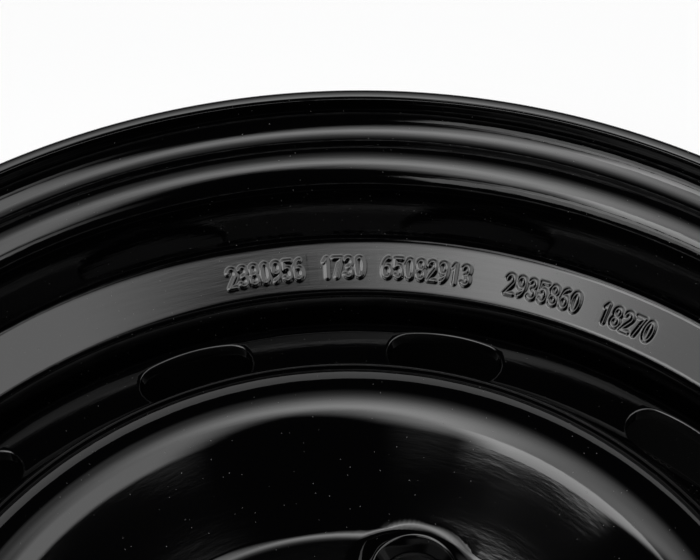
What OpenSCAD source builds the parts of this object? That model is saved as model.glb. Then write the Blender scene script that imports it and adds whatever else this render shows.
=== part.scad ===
// Steel road wheel: a roll-formed drop-centre rim and a pressed disc, welded together and painted black.
// The wheel's axis is Z with the outboard face up. The origin is the centre of the hub mounting face.

/* [Rim] */
// Diameter of the bead seats where they meet the flanges
seat_d = 329.4; // [310:0.1:360]
// Width between the tyre sides of the two flanges
rim_w = 114.3; // [108:0.1:140]
// Thickness of the rim's sheet
rim_t = 2.5; // [2:0.1:3]
// Height of the flanges above the bead seats
flange_h = 17.3; // [16:0.1:20]
// Bend radius of the flange's curl, on the tyre side
curl_r = 9.5; // [8:0.1:10]
// Angle that the curl bends past level
curl_past = 24; // [10:1:40]
// Straight run between the curl's two bends, and again at its edge
curl_flat = 0.5; // [0.2:0.1:2]
// Bend radius of the heels between bead seats and flanges, on the tyre side
heel_r = 6.5; // [5:0.1:7]
// Taper of the bead seats
seat_angle = 5; // [3:0.5:8]
// Length of the outboard bead seat, from flange to well
seat_out = 25; // [22:0.5:32]
// Length of the inboard bead seat, from flange to well
seat_in = 24; // [22:0.5:30]
// Lean of the well's outboard wall from upright
wall_out = 32; // [20:1:40]
// Lean of the well's inboard wall from upright
wall_in = 45; // [30:1:50]
// Depth of the well below the bead seats
well_depth = 15.6; // [14:0.1:19]
// Bend radius where a bead seat turns into the well, on the tyre side
toe_r = 6; // [4:0.1:7]
// Bend radius at the well's bottom, on the tyre side
well_bend = 4; // [3:0.1:5]
// Diameter of the valve hole in the well's outboard wall
valve_d = 11.5; // [8:0.1:13]

/* [Disc] */
// Distance that the mounting face lies outboard of the rim's middle
wheel_offset = 30; // [20:0.5:40]
// Thickness of the disc's sheet
disc_t = 4.5; // [3.5:0.1:5.5]
// Diameter of the centre bore
bore_d = 66.5; // [55:0.1:75]
// Diameter of the hub pad at its corner with the inner wall
pad_d = 131; // [120:0.5:140]
// Bend radius at the hub pad's edge, on the outboard face
pad_bend = 4.5; // [4:0.1:10]
// Height of the crown's corner, before rounding, above the mounting face
crown_h = 32.5; // [24:0.5:38]
// Bend radius of the crown, on the outboard face
crown_bend = 13.6; // [8:0.1:16]
// Distance of the crown's corner in from the foot of the outer wall
wall_run = 26.5; // [18:0.1:32]
// Bend radius at the foot of the outer wall, on the outboard face
foot_bend = 6; // [3:0.1:8]
// Width of the vent shelf, from the foot of the outer wall to the skirt
shelf_w = 21; // [18:0.1:26]
// Depth of the vent shelf below the mounting face
shelf_depth = 13.5; // [8:0.5:18]
// Bend radius between the vent shelf and the skirt, on the outboard face
skirt_bend = 7; // [6:0.1:9]
// Length of the skirt, from the vent shelf to its edge
skirt_h = 26.5; // [18:0.5:28]

/* [Vents] */
// Number of vents
vent_count = 12; // [6:1:16]
// Width of a vent along the circle
vent_w = 31.8; // [26:0.1:36]
// Height of a vent across the shelf
vent_h = 15; // [12:0.1:16]
// Radius of a vent's round ends
vent_end_r = 6.2; // [4:0.1:7]
// Distance of a vent's outer edge in from the skirt's outside
vent_inset = 6; // [5:0.1:8]

/* [Bolt seats] */
// Number of bolts
bolt_count = 5; // [4:1:6]
// Diameter of the bolt circle
bolt_circle_d = 112; // [104:0.1:120]
// Diameter of the bolt holes
bolt_hole_d = 15.5; // [12:0.1:17]
// Included angle of the conical seats
seat_cone = 60; // [45:1:90]
// Diameter of a seat's mouth
seat_mouth_d = 20; // [18:0.1:21]
// Height of a seat's crest above the hub pad
crest_h = 2.5; // [1.5:0.1:4]
// Width of a crest's flat top around the mouth
crest_w = 1.6; // [1:0.1:2.5]
// Rounding of a crest's outer edge
crest_round = 1.5; // [0.5:0.1:2]
// Depth of the chamfer under each bolt hole
relief = 1; // [0.5:0.1:1.5]

/* [Welds] */
// Number of weld beads around the skirt's edge
weld_count = 8; // [4:1:12]
// Arc of one weld bead
weld_arc = 27; // [10:1:29]
// Leg length of the welds
weld_leg = 4; // [3:0.1:4.4]

/* [Hidden] */

$fn = 96;
bend_step = 9;
vent_step = 12;
overshoot = 1;
crest_root = 0.4;
valve_azimuth = 270;
weld_bulge = 0.6;

flange_out = rim_w / 2 - wheel_offset;
flange_in = -rim_w / 2 - wheel_offset;
flange_r = seat_d / 2 + flange_h;
well_r = seat_d / 2 - well_depth;
skirt_r = well_r - rim_t;
shelf_z = -shelf_depth;
skirt_z = shelf_z - skirt_h;
foot_r = skirt_r - shelf_w;
crown_r = foot_r - wall_run;
bolt_r = bolt_circle_d / 2;

// Plane vectors
function unit(v) = v / norm(v);
function left_of(v) = [-v[1], v[0]];
function turned(v, a) = [v[0] * cos(a) - v[1] * sin(a), v[0] * sin(a) + v[1] * cos(a)];
function flat(c) = [c[0], c[1]];
function reversed(list) = [for (i = [len(list) - 1:-1:0]) list[i]];

// Round a corner b between a and c: a list of points on the arc, each with the normal on the left
function bend(a, b, c) =
    let (
        u = unit(flat(b) - flat(a)),
        v = unit(flat(c) - flat(b)),
        turn = atan2(u[0] * v[1] - u[1] * v[0], u * v),
        side = sign(turn),
        start = flat(b) - u * b[2] * tan(abs(turn) / 2),
        centre = start + side * b[2] * left_of(u),
        steps = ceil(abs(turn) / bend_step)
    )
    [for (i = [0:steps]) let (n = turned(left_of(u), turn * i / steps)) [centre - side * b[2] * n, n]];

// Follow corners [radius, height, bend radius] along one face of a bent sheet
function face_line(c) =
    let (last = len(c) - 1)
    concat(
        [[flat(c[0]), left_of(unit(flat(c[1]) - flat(c[0])))]],
        [for (i = [1:last - 1]) each bend(c[i - 1], c[i], c[i + 1])],
        [[flat(c[last]), left_of(unit(flat(c[last]) - flat(c[last - 1])))]]
    );

// Section of a sheet with its thickness t on the left of the corners
function sheet_section(c, t) =
    let (line = face_line(c))
    concat([for (q = line) q[0]], [for (q = reversed(line)) q[0] + t * q[1]]);

// One side of the rim from well to lip: [radius, distance in from the flange plane, bend radius]
function shoulder(seat_l, lean) =
    let (
        toe = seat_d / 2 - seat_l * tan(seat_angle),
        well_x = seat_l + (toe - well_r) * tan(lean),
        curl_x = curl_r * (1 + tan(curl_past / 2)) + curl_flat,
        lip_l = curl_r * tan(curl_past / 2) + curl_flat
    )
    [
        [well_r, well_x, well_bend],
        [toe, seat_l, toe_r],
        [seat_d / 2, 0, heel_r],
        [flange_r, 0, curl_r],
        [flange_r, -curl_x, curl_r],
        [flange_r - lip_l * sin(curl_past), -curl_x - lip_l * cos(curl_past), 0]
    ];

// Tyre side of the rim, from the inboard lip to the outboard lip
rim_corners = concat(
    reversed([for (q = shoulder(seat_in, wall_in)) [q[0], flange_in + q[1], q[2]]]),
    [for (q = shoulder(seat_out, wall_out)) [q[0], flange_out - q[1], q[2]]]
);

// Outboard face of the disc, from the skirt's edge to the centre bore
disc_corners = [
    [skirt_r, skirt_z, 0],
    [skirt_r, shelf_z, skirt_bend],
    [foot_r, shelf_z, foot_bend],
    [crown_r, crown_h, crown_bend],
    [pad_d / 2, disc_t, pad_bend],
    [bore_d / 2, disc_t, 0]
];

// Repeat around the wheel, starting at the valve
module around(count) {
    for (i = [0:count - 1]) rotate([0, 0, valve_azimuth + i * 360 / count]) children();
}

// Valve hole, square to the middle of the well's outboard wall
module valve_hole() {
    toe_r_out = seat_d / 2 - seat_out * tan(seat_angle);
    middle_r = (toe_r_out + well_r) / 2;
    middle_z = flange_out - seat_out - (toe_r_out - middle_r) * tan(wall_out);
    around(1) translate([middle_r, 0, middle_z]) rotate([0, -wall_out, 0])
        cylinder(d = valve_d, h = 4 * rim_t, center = true);
}

// Points on an arc, without its last one
function arc(centre, r, from, to) =
    let (steps = ceil((to - from) / vent_step))
    [for (i = [0:steps - 1]) let (a = from + (to - from) * i / steps) centre + r * [cos(a), sin(a)]];

// Oval of two wide arcs and two round ends that meet smoothly, with its height along X
function vent_outline() =
    let (
        end_y = vent_w / 2 - vent_end_r,
        half_h = vent_h / 2,
        wide_r = (end_y * end_y + half_h * half_h - vent_end_r * vent_end_r) / (2 * (half_h - vent_end_r)),
        wide_x = wide_r - half_h,
        meet = atan2(end_y, wide_x)
    )
    concat(
        arc([-wide_x, 0], wide_r, -meet, meet),
        arc([0, end_y], vent_end_r, meet, 180 - meet),
        arc([wide_x, 0], wide_r, 180 - meet, 180 + meet),
        arc([0, -end_y], vent_end_r, 180 + meet, 360 - meet)
    );

module vents() {
    vent_r = skirt_r - vent_inset - vent_h / 2;
    around(vent_count) translate([vent_r, 0, shelf_z - disc_t - overshoot])
        linear_extrude(disc_t + shelf_depth + overshoot) polygon(vent_outline());
}

// Raised ring that carries the conical seat, rooted in the hub pad and the inner wall
module bolt_crest() {
    hole_r = bolt_hole_d / 2;
    crest_r = seat_mouth_d / 2 + crest_w;
    fall = crest_h + crest_root;
    top_z = disc_t + crest_h;
    line = face_line([[crest_r + fall, top_z - fall, 0], [crest_r, top_z, crest_round], [hole_r, top_z, 0]]);
    translate([bolt_r, 0, 0]) rotate_extrude() polygon(concat([for (q = line) q[0]], [[hole_r, disc_t / 2]]));
}

// Bolt hole with its conical seat and the chamfer under it
module bolt_hole() {
    hole_r = bolt_hole_d / 2;
    mouth_r = seat_mouth_d / 2;
    seat_h = (mouth_r - hole_r) / tan(seat_cone / 2);
    top_z = disc_t + crest_h;
    translate([bolt_r, 0, -overshoot]) cylinder(r = hole_r, h = top_z + 2 * overshoot);
    translate([bolt_r, 0, top_z - seat_h]) cylinder(r1 = hole_r, r2 = mouth_r, h = seat_h);
    translate([bolt_r, 0, top_z]) cylinder(r = mouth_r, h = overshoot);
    translate([bolt_r, 0, 0]) cylinder(r1 = hole_r + relief, r2 = hole_r, h = relief);
}

module rim() {
    color("#141516") difference() {
        rotate_extrude() polygon(sheet_section(rim_corners, rim_t));
        valve_hole();
    }
}

module disc() {
    color("#101113") difference() {
        union() {
            rotate_extrude() polygon(sheet_section(disc_corners, disc_t));
            around(bolt_count) bolt_crest();
        }
        around(bolt_count) bolt_hole();
        vents();
    }
}

module weld_beads() {
    color("#18191a") around(weld_count) rotate([0, 0, -weld_arc / 2]) rotate_extrude(angle = weld_arc)
        polygon([
            [skirt_r, skirt_z],
            [skirt_r - weld_leg, skirt_z],
            [skirt_r - weld_bulge * weld_leg, skirt_z - weld_bulge * weld_leg],
            [skirt_r, skirt_z - weld_leg]
        ]);
}

rim();
disc();
weld_beads();
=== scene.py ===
import math

import bmesh
import bpy
import numpy as np
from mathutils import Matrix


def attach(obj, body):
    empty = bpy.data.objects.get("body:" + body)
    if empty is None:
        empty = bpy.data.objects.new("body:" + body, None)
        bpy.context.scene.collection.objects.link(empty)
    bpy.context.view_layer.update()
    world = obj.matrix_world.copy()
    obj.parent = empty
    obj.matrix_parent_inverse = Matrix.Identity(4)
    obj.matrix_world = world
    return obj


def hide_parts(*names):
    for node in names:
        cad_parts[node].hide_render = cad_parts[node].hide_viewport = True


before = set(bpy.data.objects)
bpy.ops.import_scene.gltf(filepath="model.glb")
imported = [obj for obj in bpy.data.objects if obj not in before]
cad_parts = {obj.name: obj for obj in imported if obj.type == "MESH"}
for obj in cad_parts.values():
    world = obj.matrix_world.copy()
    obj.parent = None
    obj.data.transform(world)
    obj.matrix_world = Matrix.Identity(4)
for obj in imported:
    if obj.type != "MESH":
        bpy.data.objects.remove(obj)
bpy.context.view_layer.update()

# The rim is one band of 2.5 mm steel sheet, rolled to a drop-centre section and butt-welded into a hoop.
# It carries the tyre between two curled flanges, and a valve hole is punched in the well's outboard wall.
# Gloss black paint covers it all over, a little wavy where it ran before it was baked.
MM = 0.001
AROUND = 300
ROLL_STEPS = np.radians([22.5, 45, 67.5, 90])


def bent_line(corners, step, run):
    """Points along one face of a bent sheet and the normals on its left.

    Corners are (radius, height, bend radius). step is the angle between points in a bend, and run the
    distance between points on a straight stretch, which also has a point close to each of its bends.
    """
    bend_guard = 0.4
    corners = [np.array(c, float) for c in corners]
    ways = [(b - a)[:2] / np.hypot(*(b - a)[:2]) for a, b in zip(corners, corners[1:])]
    left = [np.array([-w[1], w[0]]) for w in ways]
    spots = [corners[0][:2]]
    normals = [left[0]]
    for i, corner in enumerate(corners[1:-1]):
        turn = math.atan2(np.cross(ways[i], ways[i + 1]), ways[i] @ ways[i + 1])
        side = math.copysign(corner[2], turn)
        centre = corner[:2] - ways[i] * corner[2] * math.tan(abs(turn) / 2) + side * left[i]
        for angle in np.linspace(0, turn, math.ceil(abs(turn) / math.radians(step)) + 1):
            normal = left[i] * math.cos(angle) - ways[i] * math.sin(angle)
            spots.append(centre - side * normal)
            normals.append(normal)
    spots.append(corners[-1][:2])
    normals.append(left[-1])
    points = [spots[0]]
    faces = [normals[0]]
    for a, b, n, m in zip(spots, spots[1:], normals, normals[1:]):
        length = np.hypot(*(b - a))
        straight = n @ m > 0.99999
        if straight and length > run:
            hold = bend_guard / length
            for share in np.linspace(hold, 1 - hold, math.ceil(length / run) + 1):
                points.append(a + (b - a) * share)
                faces.append(n)
        points.append(b)
        faces.append(m)
    return np.array(points), np.array(faces)


class Sheet:
    """A bent sheet turned about the wheel's axis: its two faces, and a closed section with rounded edges."""

    def __init__(self, corners, thick, edge_r, step, run):
        corners = [np.array(c, float) for c in corners]
        start_way = corners[1][:2] - corners[0][:2]
        end_way = corners[-1][:2] - corners[-2][:2]
        start_way /= np.hypot(*start_way)
        end_way /= np.hypot(*end_way)
        corners[0][:2] += start_way * edge_r
        corners[-1][:2] -= end_way * edge_r
        self.thick = thick
        self.line, self.normal = bent_line(corners, step, run)
        self.rows = np.arange(len(self.line))
        chords = np.hypot(*np.diff(self.line, axis=0).T)
        turns = np.arcsin(np.cross(self.normal[:-1], self.normal[1:]))
        self.length = np.concatenate([[0], np.cumsum(chords)])
        self.bulge = np.append(-chords / 2 * np.tan(turns / 4), 0)
        ends = self.edge(-1, end_way, edge_r)
        starts = self.edge(0, -start_way, edge_r)[::-1]
        under = (self.line + thick * self.normal)[::-1]
        self.under_row = len(self.line) + len(ends)
        self.section = np.concatenate([self.line, ends, under, starts])

    def edge(self, end, way, edge_r):
        """Points round one edge of the sheet, from the first face to the other."""
        spot = self.line[end]
        normal = self.normal[end]
        first = [(edge_r - edge_r * math.cos(a), edge_r * math.sin(a)) for a in ROLL_STEPS]
        last = [(self.thick - depth, out) for depth, out in first[::-1]]
        return [spot + normal * depth + way * out for depth, out in first + last]

    def at(self, angle, row, depth):
        """Points at an angle round the wheel and a place along the section, some depth into the sheet."""
        part = row - np.floor(row)
        rise = 4 * part * (1 - part) * self.bulge[np.floor(row).astype(int)] + depth
        r, z, normal_r, normal_z = [
            np.interp(row, self.rows, values) for values in (*self.line.T, *self.normal.T)
        ]
        r = r + rise * normal_r
        return np.stack([r * np.cos(angle), r * np.sin(angle), z + rise * normal_z], -1)

    def row_at(self, r, depth, low, high):
        """Place along the section, between two rows, where a face has a radius."""
        line = (self.line + depth * self.normal)[low:high + 1, 0]
        return np.interp(-r, -line, self.rows[low:high + 1])

    def hoop(self, windows):
        """Quads of the sheet, left open in windows of (first column, last column, first row, last row)."""
        angle = np.arange(AROUND) * 2 * math.pi / AROUND
        r = self.section[:, :1]
        z = self.section[:, 1:]
        rings = np.stack([r * np.cos(angle), r * np.sin(angle), z + 0 * angle], -1)
        keep = np.ones(rings.shape[:2], bool)
        last = self.under_row + len(self.line) - 1
        for first_col, last_col, low, high in windows:
            cols = np.arange(first_col, last_col) % AROUND
            keep[low:high, cols] = False
            keep[last - high:last - low, cols] = False
        return loft(rings, keep, True)

    def window_edge(self, first_col, last_col, low, high):
        """Angles and rows of the points round a window."""
        cols = np.arange(first_col, last_col)
        rows = np.arange(low, high)
        col = np.concatenate([cols, 0 * rows + last_col, cols[::-1] + 1, 0 * rows + first_col])
        row = np.concatenate([0 * cols + low, rows, 0 * cols + high, rows[::-1] + 1])
        return col * 2 * math.pi / AROUND, row.astype(float)


def loft(rings, keep=None, closed=False):
    """Points and quads between rings that each close on themselves."""
    rings = np.asarray(rings)
    count, around = rings.shape[:2]
    index = np.arange(count * around).reshape(count, around)
    after = np.roll(index, -1, 0)
    quads = np.stack([index, np.roll(index, -1, 1), np.roll(after, -1, 1), after], -1)
    if not closed:
        quads = quads[:-1]
    if keep is not None:
        quads = quads[keep]
    return rings.reshape(-1, 3), quads.reshape(-1, 4)


def closed_piece(name, points, faces):
    """One closed mesh from points in millimetres, with its doubles merged and its faces outwards."""
    merge_gap = 0.00001
    mesh = bpy.data.meshes.new(name)
    mesh.from_pydata((points * MM).tolist(), [], faces)
    work = bmesh.new()
    work.from_mesh(mesh)
    bmesh.ops.remove_doubles(work, verts=work.verts, dist=merge_gap)
    loose = [v for v in work.verts if not v.link_faces]
    bmesh.ops.delete(work, geom=loose, context="VERTS")
    bmesh.ops.recalc_face_normals(work, faces=work.faces)
    if work.calc_volume(signed=True) < 0:
        bmesh.ops.reverse_faces(work, faces=work.faces)
    work.to_mesh(mesh)
    work.free()
    mesh.polygons.foreach_set("use_smooth", [True] * len(mesh.polygons))
    piece = bpy.data.objects.new(name, mesh)
    bpy.context.scene.collection.objects.link(piece)
    return piece


def steel_piece(name, lofts):
    """One closed piece from lofts that meet at their edges."""
    points = np.concatenate([p for p, q in lofts])
    starts = np.cumsum([0] + [len(p) for p, q in lofts])
    quads = np.concatenate([q + s for (p, q), s in zip(lofts, starts)])
    return closed_piece(name, points, quads.tolist())


# Rim section, in millimetres and degrees
rim_thick = 2.5
rim_edge = 0.7
flange_out = 27.15
flange_in = -87.15
flange_r = 182.0
curl_r = 9.5
curl_past = math.radians(24)
curl_flat = 0.5
heel_r = 6.5
seat_r = 164.7
seat_taper = math.radians(5)
seat_out = 25
seat_in = 24
toe_r = 6.0
wall_out = 32
wall_in = 45
well_r = 149.1
well_bend = 0.4


def shoulder(seat, lean):
    """One side of the rim's section, from well to lip: radius, distance from the flange, bend radius."""
    toe = seat_r - seat * math.tan(seat_taper)
    curl = curl_r * (1 + math.tan(curl_past / 2)) + curl_flat
    lip = curl_r * math.tan(curl_past / 2) + curl_flat
    return [
        (well_r, seat + (toe - well_r) * math.tan(math.radians(lean)), well_bend),
        (toe, seat, toe_r),
        (seat_r, 0, heel_r),
        (flange_r, 0, curl_r),
        (flange_r, -curl, curl_r),
        (flange_r - lip * math.sin(curl_past), -curl - lip * math.cos(curl_past), 0),
    ]


rim_corners = [(r, flange_in + x, b) for r, x, b in shoulder(seat_in, wall_in)[::-1]]
rim_corners += [(r, flange_out - x, b) for r, x, b in shoulder(seat_out, wall_out)]
rim_sheet = Sheet(rim_corners, rim_thick, rim_edge, step=6, run=5)

# Valve hole, square to the well's outboard wall, opposite the top of the wheel
valve_r = 5.75
valve_at_r = 155.8
valve_at_z = -0.981
valve_roll = 0.8
valve_back_roll = 0.4
valve_room = 10
valve_room_cols = 5
valve_col = AROUND * 3 // 4
valve_angle = valve_col * 2 * math.pi / AROUND
from_valve = np.hypot(rim_sheet.line[:, 0] - valve_at_r, rim_sheet.line[:, 1] - valve_at_z)
nearest_length = rim_sheet.length[int(np.argmin(from_valve))]
valve_low = int(np.searchsorted(rim_sheet.length, nearest_length - valve_room))
valve_high = int(np.searchsorted(rim_sheet.length, nearest_length + valve_room))
valve_window = (valve_col - valve_room_cols, valve_col + valve_room_cols, valve_low, valve_high)
edge_angle, edge_row = rim_sheet.window_edge(*valve_window)
middle_length = (rim_sheet.length[valve_low] + rim_sheet.length[valve_high]) / 2
aside = (edge_angle - valve_angle) * valve_at_r
along = np.interp(edge_row, rim_sheet.rows, rim_sheet.length) - middle_length
valve_bearing = np.arctan2(along, aside)
valve_steps = [(share, valve_r + valve_roll, 0) for share in np.linspace(0, 1, 5)]
for a in np.radians([30, 60, 90]):
    radius = valve_r + valve_roll - valve_roll * math.sin(a)
    valve_steps.append((1, radius, valve_roll - valve_roll * math.cos(a)))
for a in np.radians([90, 45]):
    radius = valve_r + valve_back_roll - valve_back_roll * math.sin(a)
    valve_steps.append((1, radius, rim_thick - valve_back_roll + valve_back_roll * math.cos(a)))
valve_steps += [(share, valve_r + valve_back_roll, rim_thick) for share in np.linspace(1, 0, 5)]
valve_rings = []
for share, radius, depth in valve_steps:
    hole_angle = valve_angle + radius * np.cos(valve_bearing) / valve_at_r
    hole_row = np.interp(middle_length + radius * np.sin(valve_bearing), rim_sheet.length, rim_sheet.rows)
    ring_angle = edge_angle + (hole_angle - edge_angle) * share
    ring_row = edge_row + (hole_row - edge_row) * share
    valve_rings.append(rim_sheet.at(ring_angle, ring_row, depth))
rim = steel_piece("rim_band", [rim_sheet.hoop([valve_window]), loft(valve_rings)])


def paint_group(name, outputs, inputs):
    """An empty shader group with named value inputs and outputs, and its object coordinates."""
    tree = bpy.data.node_groups.new(name, "ShaderNodeTree")
    for label in outputs:
        tree.interface.new_socket(label, in_out="OUTPUT", socket_type="NodeSocketFloat")
    for label, value in inputs.items():
        socket = tree.interface.new_socket(label, in_out="INPUT", socket_type="NodeSocketFloat")
        socket.default_value = value
    enter = tree.nodes.new("NodeGroupInput")
    leave = tree.nodes.new("NodeGroupOutput")
    place = tree.nodes.new("ShaderNodeTexCoord")
    return tree, enter, leave, place


def maths(tree, operation, first, second):
    """A maths node fed by sockets or plain numbers."""
    node = tree.nodes.new("ShaderNodeMath")
    node.operation = operation
    for socket, value in zip(node.inputs, (first, second)):
        if isinstance(value, (int, float)):
            socket.default_value = value
        else:
            tree.links.new(value, socket)
    return node.outputs[0]


def vector_maths(tree, operation, *values):
    """The outputs of a vector maths node fed by sockets or plain vectors."""
    node = tree.nodes.new("ShaderNodeVectorMath")
    node.operation = operation
    for socket, value in zip(node.inputs, values):
        if isinstance(value, tuple):
            socket.default_value = value
        else:
            tree.links.new(value, socket)
    return node.outputs


# Ripples in the paint: long streaks round the wheel where the sheet was rolled, and short orange peel on top.
# A face that was punched or coined looks sideways round the wheel, and has no streaks.
peel, peel_in, peel_out, peel_at = paint_group(
    "baked_paint_ripple", ["Height"],
    {"Streak Scale": 500, "Streak Height": 0.03, "Peel Scale": 420, "Peel Height": 0.002},
)
streak_squeeze = 0.015
coined_fade = 4
flat = vector_maths(peel, "MULTIPLY", peel_at.outputs["Object"], (1, 1, 0))["Vector"]
outwards = vector_maths(peel, "LENGTH", flat)["Value"]
compass = vector_maths(peel, "NORMALIZE", flat)["Vector"]
squeezed = vector_maths(peel, "MULTIPLY", compass, (streak_squeeze,) * 3)["Vector"]
streak_at = vector_maths(peel, "MULTIPLY_ADD", peel_at.outputs["Object"], (0, 0, 1), squeezed)["Vector"]
sideways = vector_maths(peel, "CROSS_PRODUCT", compass, (0, 0, 1))["Vector"]
lean = vector_maths(peel, "DOT_PRODUCT", peel_at.outputs["Normal"], sideways)["Value"]
coined = maths(peel, "MULTIPLY", maths(peel, "ABSOLUTE", lean, 0), coined_fade)
rolled = maths(peel, "MAXIMUM", maths(peel, "SUBTRACT", 1, coined), 0)
heights = []
for label, place, detail in (("Streak", streak_at, 4), ("Peel", peel_at.outputs["Object"], 1.5)):
    noise = peel.nodes.new("ShaderNodeTexNoise")
    noise.noise_dimensions = "4D"
    noise.inputs["Detail"].default_value = detail
    noise.inputs["Roughness"].default_value = 0.6
    peel.links.new(place, noise.inputs["Vector"])
    peel.links.new(outwards, noise.inputs["W"])
    peel.links.new(peel_in.outputs[f"{label} Scale"], noise.inputs["Scale"])
    heights.append(maths(peel, "MULTIPLY", noise.outputs["Fac"], peel_in.outputs[f"{label} Height"]))
streaks = maths(peel, "MULTIPLY", heights[0], rolled)
peel.links.new(maths(peel, "ADD", streaks, heights[1]), peel_out.inputs["Height"])

# Specks of dust that settled in the paint and on it
dust, dust_in, dust_out, dust_at = paint_group("dust_specks", ["Speck"], {"Scale": 520, "Amount": 0.12})
cells = dust.nodes.new("ShaderNodeTexVoronoi")
patches = dust.nodes.new("ShaderNodeTexNoise")
patches.inputs["Scale"].default_value = 45
dust.links.new(dust_at.outputs["Object"], cells.inputs["Vector"])
dust.links.new(dust_at.outputs["Object"], patches.inputs["Vector"])
dust.links.new(dust_in.outputs["Scale"], cells.inputs["Scale"])
spread = maths(dust, "MULTIPLY", patches.outputs["Fac"], dust_in.outputs["Amount"])
speck = maths(dust, "LESS_THAN", cells.outputs["Distance"], spread)
dust.links.new(speck, dust_out.inputs["Speck"])


def black_paint(name, colour, roughness, streak_height, peel_height, specks):
    """Gloss black paint with its own ripples and dust."""
    dust_colour = (0.09, 0.09, 0.088, 1)
    dust_roughness = 0.6
    material = bpy.data.materials.new(name)
    material.use_nodes = True
    tree = material.node_tree
    surface = tree.nodes["Principled BSDF"]
    surface.inputs["IOR"].default_value = 1.5
    ripple = tree.nodes.new("ShaderNodeGroup")
    ripple.node_tree = peel
    ripple.inputs["Streak Height"].default_value = streak_height
    ripple.inputs["Peel Height"].default_value = peel_height
    bump = tree.nodes.new("ShaderNodeBump")
    bump.inputs["Distance"].default_value = MM
    tree.links.new(ripple.outputs["Height"], bump.inputs["Height"])
    tree.links.new(bump.outputs["Normal"], surface.inputs["Normal"])
    settled = tree.nodes.new("ShaderNodeGroup")
    settled.node_tree = dust
    settled.inputs["Amount"].default_value = specks
    tint = tree.nodes.new("ShaderNodeMix")
    tint.data_type = "RGBA"
    tint.inputs["A"].default_value = (*colour, 1)
    tint.inputs["B"].default_value = dust_colour
    tree.links.new(settled.outputs["Speck"], tint.inputs["Factor"])
    tree.links.new(tint.outputs["Result"], surface.inputs["Base Color"])
    rough = tree.nodes.new("ShaderNodeMapRange")
    rough.inputs["To Min"].default_value = roughness
    rough.inputs["To Max"].default_value = dust_roughness
    tree.links.new(settled.outputs["Speck"], rough.inputs["Value"])
    tree.links.new(rough.outputs["Result"], surface.inputs["Roughness"])
    return material


rim_paint = black_paint(
    "rim_paint", (0.0006, 0.0006, 0.0007),
    roughness=0.06, streak_height=0.03, peel_height=0.002, specks=0.11,
)
rim.data.materials.append(rim_paint)
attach(rim, "root")
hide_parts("rim")

# The marking is rows of plain figures, stamped into the well's outboard wall and softened by the paint.
# Each row is a thin skin of the rim's paint that lies on the sheet, with its edges sunk in it.
# A row has a bearing round the wheel, in degrees, and a width.
MARKS = {
    "2380956": (80.2, 22),
    "1730": (72.0, 12.5),
    "65082913": (63.2, 25.5),
    "2935860": (50.8, 22),
    "18270": (41.6, 16),
}
mark_r = 154.3
mark_height = 6.4
mark_width = 2.2
mark_rise = 0.25
stroke_w = 1.05
mark_edge = 2.2
skin_lift = 0.01
skin_sink = 0.014
skin_fade = 5
columns_per_mm = 5
skin_rows = 48
wall = slice(valve_low, valve_high)
mark_length = np.interp(mark_r, rim_sheet.line[wall, 0], rim_sheet.length[wall])


def bow(x, y, wide, high, start, stop):
    """Points on an oval arc, in a figure that reaches from -1 to 1 both ways."""
    angles = np.radians(np.linspace(start, stop, 17))
    return [(x + wide * math.cos(a), y + high * math.sin(a)) for a in angles]


FIGURES = {
    "0": [bow(0, 0, 1, 1, 0, 360)],
    "1": [[(-0.5, 0.6), (0.1, 1), (0.1, -1)]],
    "2": [bow(0, 0.45, 1, 0.55, 165, -35) + [(-1, -1), (1, -1)]],
    "3": [bow(0, 0.5, 0.9, 0.5, 150, -90), bow(0, -0.5, 1, 0.5, 90, -150)],
    "5": [[(0.9, 1), (-0.8, 1), (-0.9, 0.15)], bow(0, -0.35, 1, 0.65, 130, -145)],
    "6": [bow(0.5, -0.35, 1.5, 1.35, 95, 180), bow(0, -0.4, 1, 0.6, 0, 360)],
    "7": [[(-1, 1), (1, 1), (-0.3, -1)]],
    "8": [bow(0, 0.5, 0.85, 0.5, 0, 360), bow(0, -0.5, 1, 0.5, 0, 360)],
    "9": [bow(-0.5, 0.35, 1.5, 1.35, 275, 360), bow(0, 0.4, 1, 0.6, 0, 360)],
}


def from_stroke(x, y, start, stop):
    """Distance of points from a straight stroke."""
    ax, ay = start
    bx, by = stop
    part = ((x - ax) * (bx - ax) + (y - ay) * (by - ay)) / ((bx - ax) ** 2 + (by - ay) ** 2)
    part = np.clip(part, 0, 1)
    return np.hypot(x - ax - part * (bx - ax), y - ay - part * (by - ay))


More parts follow.
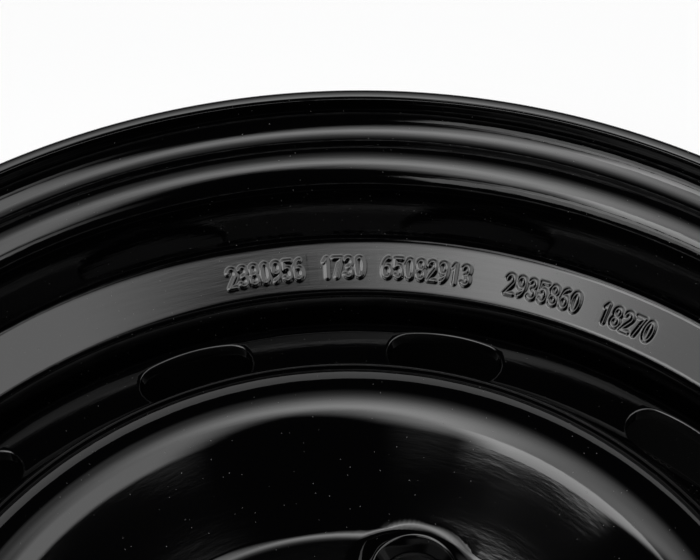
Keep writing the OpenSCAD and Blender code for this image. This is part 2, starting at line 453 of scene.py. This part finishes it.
for mark, (figures, (mark_bearing, width)) in enumerate(MARKS.items()):
    half_w = width / 2 + mark_edge
    half_h = mark_height / 2 + mark_edge
    x, y = np.meshgrid(
        np.linspace(-half_w, half_w, round(width * columns_per_mm)),
        np.linspace(-half_h, half_h, skin_rows),
    )
    gap = np.full(x.shape, np.inf)
    pitch = width / len(figures)
    for number, figure in enumerate(figures):
        middle = (number + 0.5) * pitch - width / 2
        for stroke in FIGURES[figure]:
            ends = [(middle + u * mark_width / 2, v * (mark_height - stroke_w) / 2) for u, v in stroke]
            for start, stop in zip(ends, ends[1:]):
                gap = np.minimum(gap, from_stroke(x, y, start, stop))
    ridge = np.clip(1 - gap / stroke_w, 0, 1)
    border = np.minimum(half_w - np.abs(x), half_h - np.abs(y))
    sunk = skin_sink * np.clip(1 - border / skin_fade, 0, 1) ** 2
    rise = skin_lift + mark_rise * ridge ** 2 * (3 - 2 * ridge) - sunk
    rows = np.interp(mark_length + y, rim_sheet.length, rim_sheet.rows)
    skin = rim_sheet.at(math.radians(mark_bearing) - x / mark_r, rows, rim_thick + rise).reshape(-1, 3)
    index = np.arange(x.size).reshape(x.shape)
    quads = np.stack([index[:-1, :-1], index[:-1, 1:], index[1:, 1:], index[1:, :-1]], -1)
    under = np.stack([index[-1, 1:-2], index[-1, 2:-1], index[0, 2:-1], index[0, 1:-2]], -1)
    faces = quads.reshape(-1, 4).tolist() + under.tolist()
    faces.append([*index[:, 0].tolist(), int(index[-1, 1]), int(index[0, 1])])
    faces.append([*index[::-1, -1].tolist(), int(index[0, -2]), int(index[-1, -2])])
    marks = closed_piece(f"figures_{mark}", skin, faces)
    marks.data.materials.append(rim_paint)
    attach(marks, "root")

# The disc is a pressing of 4.5 mm steel sheet: a skirt, a shelf with vents, a crowned wall and a hub pad.
# Its skirt is a press fit in the rim's well. The vents, bolt holes and bore are punched, so their edges are
# rolled on the outboard side, and the bolt seats are coined up into crests.
disc_thick = 4.5
disc_edge = 0.9
disc_corners = [
    (146.6, -40, 0),
    (146.6, -13.5, 7),
    (125.6, -13.5, 6),
    (99.1, 32.5, 13.6),
    (65.5, 4.5, 4.5),
    (33.25, 4.5, 0),
]
disc_sheet = Sheet(disc_corners, disc_thick, disc_edge, step=5, run=5)
row_radius = disc_sheet.line[:, 0]

# Vents: ovals of two wide arcs and two round ends, cut straight down through the shelf
vent_count = 12
vent_r = 133.1
vent_half_w = 15.9
vent_half_h = 7.5
vent_end_r = 6.2
vent_roll = 0.6
vent_back_roll = 0.5
vent_room_cols = 9
vent_room_out_r = 145.7
vent_room_in_r = 119
vent_low = int(np.argmax(row_radius < vent_room_out_r))
vent_high = int(np.argmax(row_radius < vent_room_in_r))


def vent_reach(bearing, grow):
    """Distance from a vent's middle to its edge, grown outwards, along bearings from the radial direction."""
    end = vent_half_w - vent_end_r
    wide = (end ** 2 + vent_half_h ** 2 - vent_end_r ** 2) / (2 * (vent_half_h - vent_end_r))
    middle = wide - vent_half_h
    meet = math.atan2(end, middle)
    loops = []
    for centre, radius, start, stop in (
        ((-middle, 0), wide, -meet, meet),
        ((0, end), vent_end_r, meet, math.pi - meet),
        ((middle, 0), wide, math.pi - meet, math.pi + meet),
        ((0, -end), vent_end_r, math.pi + meet, 2 * math.pi - meet),
    ):
        for a in np.linspace(start, stop, 60):
            out = centre[0] + (radius + grow) * math.cos(a)
            side = centre[1] + (radius + grow) * math.sin(a)
            loops.append((out, side))
    x, y = np.array(loops).T
    return np.interp(bearing, np.arctan2(y, x), np.hypot(x, y), period=2 * math.pi)


lofts = []
windows = []
for vent in range(vent_count):
    col = vent * AROUND // vent_count
    window = (col - vent_room_cols, col + vent_room_cols, vent_low, vent_high)
    windows.append(window)
    middle = col * 2 * math.pi / AROUND
    edge_angle, edge_row = disc_sheet.window_edge(*window)
    edge = disc_sheet.at(edge_angle, edge_row, 0)
    out = edge[:, 0] * math.cos(middle) + edge[:, 1] * math.sin(middle) - vent_r
    side = edge[:, 1] * math.cos(middle) - edge[:, 0] * math.sin(middle)
    vent_bearing = np.arctan2(side, out)
    rings = []
    for roll, depth, shares in (
        (vent_roll, 0, (0, 0.25, 0.5, 0.7, 0.85, 0.95, 1)),
        (vent_back_roll, disc_thick, (1, 0.9, 0.7, 0.4, 0)),
    ):
        reach = vent_reach(vent_bearing, roll)
        x = vent_r + reach * np.cos(vent_bearing)
        y = reach * np.sin(vent_bearing)
        hole_angle = middle + np.arctan2(y, x)
        hole_row = disc_sheet.row_at(np.hypot(x, y), depth, vent_low, vent_high)
        face = []
        for share in shares:
            ring_angle = edge_angle + (hole_angle - edge_angle) * share
            ring_row = edge_row + (hole_row - edge_row) * share
            face.append(disc_sheet.at(ring_angle, ring_row, depth))
        lip = face[-1] if depth == 0 else face[0]
        lip_rings = []
        for a in ROLL_STEPS:
            reach = vent_reach(vent_bearing, roll - roll * math.sin(a))
            x = vent_r + reach * np.cos(vent_bearing)
            y = reach * np.sin(vent_bearing)
            drop = (roll - roll * math.cos(a)) * (-1 if depth == 0 else 1)
            lip_rings.append(np.stack([
                x * math.cos(middle) - y * math.sin(middle),
                x * math.sin(middle) + y * math.cos(middle),
                lip[:, 2] + drop,
            ], -1))
        rings += face + lip_rings if depth == 0 else lip_rings[::-1] + face
    lofts.append(loft(rings))

# Bolt seats: crests coined up round the holes, softly joined to the hub pad and the inner wall.
# Each has a cone for its bolt, 60 degrees across, and a hole with an edge rolled at the back.
bolt_count = 5
bolt_r = 56.0
bolt_hole_r = 7.75
bolt_back = ((bolt_hole_r, 2.8), (bolt_hole_r, 1.3), (8, 0.8), (8.6, 0.15), (8.9, 0))
bolt_back_r = 9.4
bolt_room_cols = 16
bolt_room_out_r = 80
bolt_room_in_r = 37
bolt_low = int(np.argmax(row_radius < bolt_room_out_r))
bolt_high = int(np.argmax(row_radius < bolt_room_in_r))
crest_z = 7.0
crest_r = 11.6
crest_blend = 3.0
crest_flank = 1.5
crest_soft = 2
crest_shares = (*np.linspace(0.06, 0.36, 5), *np.linspace(0.4, 0.92, 30), 0.95, 0.975, 1)
mouth_r = 10.0
mouth_edge = 0.7
cone_turn = math.radians(60)
cone_z = 3.1


def raise_crest(points, spot):
    """Lift a ring of sheet round a bolt hole, softly joined to the pad and the wall."""
    apart = np.hypot(points[..., 0] - spot[0], points[..., 1] - spot[1])
    past = np.maximum(apart - crest_r + crest_flank, 0)
    crest = crest_z - past ** 2 / (past + crest_soft)
    near = np.maximum(crest_blend - np.abs(points[..., 2] - crest), 0)
    raised = points.copy()
    raised[..., 2] = np.maximum(points[..., 2], crest) + near ** 2 / (4 * crest_blend)
    return raised


for bolt in range(bolt_count):
    bolt_angle = math.radians(270 + 360 / bolt_count * bolt)
    col = round(bolt_angle * AROUND / (2 * math.pi))
    window = (col - bolt_room_cols, col + bolt_room_cols, bolt_low, bolt_high)
    windows.append(window)
    edge_angle, edge_row = disc_sheet.window_edge(*window)
    edge = disc_sheet.at(edge_angle, edge_row, 0)
    spot = np.array([bolt_r * math.cos(bolt_angle), bolt_r * math.sin(bolt_angle)])
    bolt_bearing = np.arctan2(edge[:, 1] - spot[1], edge[:, 0] - spot[0])
    round_way = np.stack([np.cos(bolt_bearing), np.sin(bolt_bearing)], -1)

    def seat_rings(radius, depth, shares):
        """Rings on one face of the sheet between the window and a circle round the bolt hole."""
        circle = spot + radius * round_way
        hole_row = disc_sheet.row_at(np.hypot(*circle.T), depth, bolt_low, bolt_high)
        turn = np.arctan2(circle[:, 1], circle[:, 0]) - edge_angle
        turn = (turn + math.pi) % (2 * math.pi) - math.pi
        return [
            disc_sheet.at(edge_angle + turn * share, edge_row + (hole_row - edge_row) * share, depth)
            for share in shares
        ]

    rings = seat_rings(mouth_r + mouth_edge, 0, [0])
    rings += [raise_crest(ring, spot) for ring in seat_rings(mouth_r + mouth_edge, 0, crest_shares)]
    mouth_z = rings[-1][:, 2]
    for a in np.radians([20, 40, 60]):
        circle = spot + (mouth_r + mouth_edge - mouth_edge * math.sin(a)) * round_way
        rings.append(np.column_stack([circle, mouth_z - mouth_edge * (1 - math.cos(a))]))
    lip_r = mouth_r + mouth_edge - mouth_edge * math.sin(cone_turn)
    lip_z = mouth_z - mouth_edge / 2
    for share in (0.15, 0.4, 0.7, 0.9, 1):
        circle = spot + (lip_r + (bolt_hole_r - lip_r) * share) * round_way
        rings.append(np.column_stack([circle, lip_z + (cone_z - lip_z) * share]))
    for radius, height in bolt_back:
        rings.append(np.column_stack([spot + radius * round_way, 0 * bolt_bearing + height]))
    rings += seat_rings(bolt_back_r, disc_thick, np.linspace(1, 0, 6))
    lofts.append(loft(rings))

lofts.append(disc_sheet.hoop(windows))
disc = steel_piece("disc_pressing", lofts)
disc_paint = black_paint(
    "disc_paint", (0.0006, 0.0006, 0.0007),
    roughness=0.06, streak_height=0.012, peel_height=0.002, specks=0.1,
)
disc.data.materials.append(disc_paint)
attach(disc, "root")
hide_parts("disc")

# The welds are eight arc-welded beads that hold the skirt's edge to the rim's well from behind.
# Each is a run of overlapping ripples of steel, laid in the corner and painted over with the rest.
WELD_SIZES = {
    "Skirt Radius": 0.1455,
    "Edge Height": -0.0411,
    "Bead Arc": math.radians(27),
    "Bead Radius": 0.0026,
    "Ripple Pitch": 0.0023,
    "Ripple Depth": 0.09,
    "Count": 8,
}
weld_tree = bpy.data.node_groups.new("weld_bead_runs", "GeometryNodeTree")
weld_tree.interface.new_socket("Geometry", in_out="INPUT", socket_type="NodeSocketGeometry")
weld_tree.interface.new_socket("Geometry", in_out="OUTPUT", socket_type="NodeSocketGeometry")
for label, value in WELD_SIZES.items():
    kind = "NodeSocketInt" if label == "Count" else "NodeSocketFloat"
    weld_tree.interface.new_socket(label, in_out="INPUT", socket_type=kind).default_value = value
weld_tree.interface.new_socket("Paint", in_out="INPUT", socket_type="NodeSocketMaterial")
sizes = weld_tree.nodes.new("NodeGroupInput").outputs
weld_end = weld_tree.nodes.new("NodeGroupOutput")
join = weld_tree.links.new

# The line of one run
run_line = weld_tree.nodes.new("GeometryNodeCurveArc")
run_line.inputs["Resolution"].default_value = 180
join(sizes["Skirt Radius"], run_line.inputs["Radius"])
join(maths(weld_tree, "MULTIPLY", sizes["Bead Arc"], -0.5), run_line.inputs["Start Angle"])
join(sizes["Bead Arc"], run_line.inputs["Sweep Angle"])

# Ripples along the run, and its two rounded ends
end_steepness = 25
end_least = 0.05
along_run = weld_tree.nodes.new("GeometryNodeSplineParameter").outputs
ripples = maths(weld_tree, "DIVIDE", along_run["Length"], sizes["Ripple Pitch"])
ripple_wave = maths(weld_tree, "SINE", maths(weld_tree, "MULTIPLY", ripples, 2 * math.pi), 0)
ripple_swell = maths(weld_tree, "MULTIPLY", ripple_wave, sizes["Ripple Depth"])
from_middle = maths(weld_tree, "ABSOLUTE", maths(weld_tree, "SUBTRACT", along_run["Factor"], 0.5), 0)
from_end = maths(weld_tree, "SUBTRACT", 0.5, from_middle)
end_share = maths(weld_tree, "MINIMUM", maths(weld_tree, "MULTIPLY", from_end, end_steepness), 1)
end_taper = maths(weld_tree, "MAXIMUM", maths(weld_tree, "POWER", end_share, 0.5), end_least)
swell = maths(weld_tree, "MULTIPLY", maths(weld_tree, "ADD", ripple_swell, 1), end_taper)

# The bead along that line
bead_round = weld_tree.nodes.new("GeometryNodeCurvePrimitiveCircle")
bead_round.inputs["Resolution"].default_value = 14
join(sizes["Bead Radius"], bead_round.inputs["Radius"])
bead = weld_tree.nodes.new("GeometryNodeCurveToMesh")
bead.inputs["Fill Caps"].default_value = True
join(run_line.outputs["Curve"], bead.inputs["Curve"])
join(bead_round.outputs["Curve"], bead.inputs["Profile Curve"])
join(swell, bead.inputs["Scale"])
bead_lift = weld_tree.nodes.new("ShaderNodeCombineXYZ")
join(sizes["Edge Height"], bead_lift.inputs["Z"])
bead_placed = weld_tree.nodes.new("GeometryNodeTransform")
join(bead.outputs["Mesh"], bead_placed.inputs["Geometry"])
join(bead_lift.outputs["Vector"], bead_placed.inputs["Translation"])

# Like beads round the wheel, the first towards the valve hole
bead_points = weld_tree.nodes.new("GeometryNodePoints")
join(sizes["Count"], bead_points.inputs["Count"])
bead_index = weld_tree.nodes.new("GeometryNodeInputIndex")
bead_share = maths(weld_tree, "DIVIDE", bead_index.outputs["Index"], sizes["Count"])
quarter_back = maths(weld_tree, "SUBTRACT", bead_share, 0.25)
bead_turn = weld_tree.nodes.new("ShaderNodeCombineXYZ")
join(maths(weld_tree, "MULTIPLY", quarter_back, 2 * math.pi), bead_turn.inputs["Z"])
runs = weld_tree.nodes.new("GeometryNodeInstanceOnPoints")
join(bead_points.outputs["Points"], runs.inputs["Points"])
join(bead_placed.outputs["Geometry"], runs.inputs["Instance"])
join(bead_turn.outputs["Vector"], runs.inputs["Rotation"])
whole = weld_tree.nodes.new("GeometryNodeRealizeInstances")
smooth = weld_tree.nodes.new("GeometryNodeSetShadeSmooth")
painted = weld_tree.nodes.new("GeometryNodeSetMaterial")
join(runs.outputs["Instances"], whole.inputs["Geometry"])
join(whole.outputs["Geometry"], smooth.inputs["Geometry"])
join(smooth.outputs["Geometry"], painted.inputs["Geometry"])
join(sizes["Paint"], painted.inputs["Material"])
join(painted.outputs["Geometry"], weld_end.inputs["Geometry"])


def grown_piece(name, tree, values):
    """A plain mesh piece from a tree of Geometry Nodes, with its inputs set by their identifiers."""
    seed = bpy.data.objects.new(f"{name}_seed", bpy.data.meshes.new(f"{name}_seed"))
    bpy.context.scene.collection.objects.link(seed)
    grow = seed.modifiers.new("grow", "NODES")
    grow.node_group = tree
    for socket in tree.interface.items_tree:
        if socket.in_out == "INPUT" and socket.name in values:
            grow[socket.identifier] = values[socket.name]
    ready = seed.evaluated_get(bpy.context.evaluated_depsgraph_get())
    mesh = bpy.data.meshes.new_from_object(ready)
    seed.modifiers.remove(grow)
    bpy.data.objects.remove(seed)
    mesh.name = name
    piece = bpy.data.objects.new(name, mesh)
    bpy.context.scene.collection.objects.link(piece)
    return piece


weld_paint = black_paint(
    "weld_paint", (0.0008, 0.0008, 0.0009),
    roughness=0.12, streak_height=0.015, peel_height=0.006, specks=0.09,
)
welds = grown_piece("weld_runs", weld_tree, {**WELD_SIZES, "Paint": weld_paint})
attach(welds, "root")
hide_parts("weld_beads")

# The floor is a plain studio sweep of grey paper that glows white, curving up into a low wall behind the
# wheel.
# It only carries the wheel and its shadow, which is partly real and partly a painted shadow, and is no part
# of it.
floor_z = -0.10147
floor_half = 6
sweep_y = 1.6
sweep_r = 0.6
wall_top = 1.5
paper_grey = 0.25
# Painted shadow on the floor: the white glow is gone inside the first radius round the wheel and fades back
# in up to the second, leaving the dark grey paper under and near the wheel
painted_shadow_full_r = 0.17
painted_shadow_end_r = 0.32
paper_glow = 0.8
sweep_line = [(-floor_half, floor_z), (sweep_y, floor_z)]
for a in np.radians(np.arange(7.5, 90.1, 7.5)):
    sweep_line.append((sweep_y + sweep_r * math.sin(a), floor_z + sweep_r * (1 - math.cos(a))))
sweep_line.append((sweep_y + sweep_r, wall_top))
sweep_points = [(x, y, z) for y, z in sweep_line for x in (-floor_half, floor_half)]
sweep_quads = [(i, i + 1, i + 3, i + 2) for i in range(0, len(sweep_points) - 2, 2)]
floor_mesh = bpy.data.meshes.new("floor")
floor_mesh.from_pydata(sweep_points, [], sweep_quads)
floor = bpy.data.objects.new("floor", floor_mesh)
bpy.context.scene.collection.objects.link(floor)
floor_paper = bpy.data.materials.new("floor_paper")
floor_paper.use_nodes = True
paper_tree = floor_paper.node_tree
paper = paper_tree.nodes["Principled BSDF"]
paper.inputs["Base Color"].default_value = (paper_grey, paper_grey, paper_grey, 1)
paper.inputs["Roughness"].default_value = 0.9
paper.inputs["Specular IOR Level"].default_value = 0
paper.inputs["Emission Color"].default_value = (1, 1, 1, 1)
ray = paper_tree.nodes.new("ShaderNodeLightPath").outputs
seen = maths(paper_tree, "MAXIMUM", ray["Is Camera Ray"], ray["Is Glossy Ray"])
seen = maths(paper_tree, "MAXIMUM", seen, ray["Is Transmission Ray"])
paper_at = paper_tree.nodes.new("ShaderNodeTexCoord")
from_wheel = vector_maths(paper_tree, "LENGTH", paper_at.outputs["Object"])["Value"]
# The glow fades to nothing towards the wheel, a painted shadow round it
glow_outside_painted_shadow = paper_tree.nodes.new("ShaderNodeMapRange")
glow_outside_painted_shadow.interpolation_type = "SMOOTHSTEP"
glow_outside_painted_shadow.inputs["From Min"].default_value = painted_shadow_full_r
glow_outside_painted_shadow.inputs["From Max"].default_value = painted_shadow_end_r
glow_outside_painted_shadow.inputs["To Max"].default_value = paper_glow
paper_tree.links.new(from_wheel, glow_outside_painted_shadow.inputs["Value"])
glow = maths(paper_tree, "MULTIPLY", seen, glow_outside_painted_shadow.outputs["Result"])
paper_tree.links.new(glow, paper.inputs["Emission Strength"])
floor.data.materials.append(floor_paper)

# Seven softboxes hang level: four low over the wheel, and three high and far out to its left and right.
# Each has its middle, size, turn and brightness, and the shares of its width and depth that fade out.
# The room around is dark, so the paint is black between them.
SOFTBOXES = {
    "softbox_hot": ((-0.15, -0.12, 0.65), (1.00, 0.35), 0.78, 3.21, (0.41, 0.50)),
    "softbox_top": ((-0.48, -0.01, 1.06), (1.85, 0.80), 0.40, 2.31, (0.49, 0.23)),
    "softbox_near_left": ((-0.57, -0.11, 0.69), (0.46, 0.57), 0.74, 4.18, (0.09, 0.24)),
    "softbox_near_right": ((0.57, -0.11, 0.67), (1.23, 0.75), 0.40, 2.56, (0.15, 0.27)),
    "softbox_left": ((-3.66, -1.47, 2.25), (1.51, 4.93), 0.80, 3.15, (0.10, 0.29)),
    "softbox_far_right": ((2.48, -3.29, 2.20), (4.84, 2.00), 0.10, 2.83, (0.50, 0.31)),
    "softbox_far_left": ((-4.64, -4.26, 2.15), (4.07, 4.73), -0.60, 1.77, (0.08, 0.04)),
}
room_grey = 0.006
for name, (place, size, turn, radiance, edges) in SOFTBOXES.items():
    lamp = bpy.data.lights.new(name, "AREA")
    lamp.shape = "RECTANGLE"
    lamp.size, lamp.size_y = size
    lamp.energy = radiance * math.pi * size[0] * size[1]
    lamp.use_nodes = True
    cloth = lamp.node_tree
    cloth_at = cloth.nodes.new("ShaderNodeNewGeometry")
    cloth_axes = cloth.nodes.new("ShaderNodeSeparateXYZ")
    cloth.links.new(cloth_at.outputs["Parametric"], cloth_axes.inputs["Vector"])
    level = 1
    for axis, edge in zip(("X", "Y"), edges):
        other_side = maths(cloth, "SUBTRACT", 1, cloth_axes.outputs[axis])
        inwards = maths(cloth, "MINIMUM", cloth_axes.outputs[axis], other_side)
        fade = cloth.nodes.new("ShaderNodeMapRange")
        fade.interpolation_type = "SMOOTHSTEP"
        fade.inputs["From Max"].default_value = edge
        cloth.links.new(inwards, fade.inputs["Value"])
        level = maths(cloth, "MULTIPLY", fade.outputs["Result"], level)
    cloth.links.new(level, cloth.nodes["Emission"].inputs["Strength"])
    holder = bpy.data.objects.new(name, lamp)
    holder.location = place
    holder.rotation_euler = (0, 0, turn)
    bpy.context.scene.collection.objects.link(holder)
world = bpy.data.worlds.new("dark_room")
world.use_nodes = True
world.node_tree.nodes["Background"].inputs["Color"].default_value = (room_grey, room_grey, room_grey, 1)
bpy.context.scene.world = world

# The camera stands close over the near side of the wheel and looks across it at the far half of the rim.
# Its lens is a short telephoto.
camera_data = bpy.data.cameras.new("camera")
camera_data.lens = 86.63
camera_data.sensor_width = 36
camera_data.clip_start = 0.01
camera = bpy.data.objects.new("camera", camera_data)
camera.location = (-0.0290, -0.13422, 0.3725)
camera.rotation_euler = [math.radians(a) for a in (37.343, 1.953, -18.165)]
bpy.context.scene.collection.objects.link(camera)
bpy.context.scene.camera = camera
bpy.context.scene.view_settings.view_transform = "Standard"

bpy.context.view_layer.update()
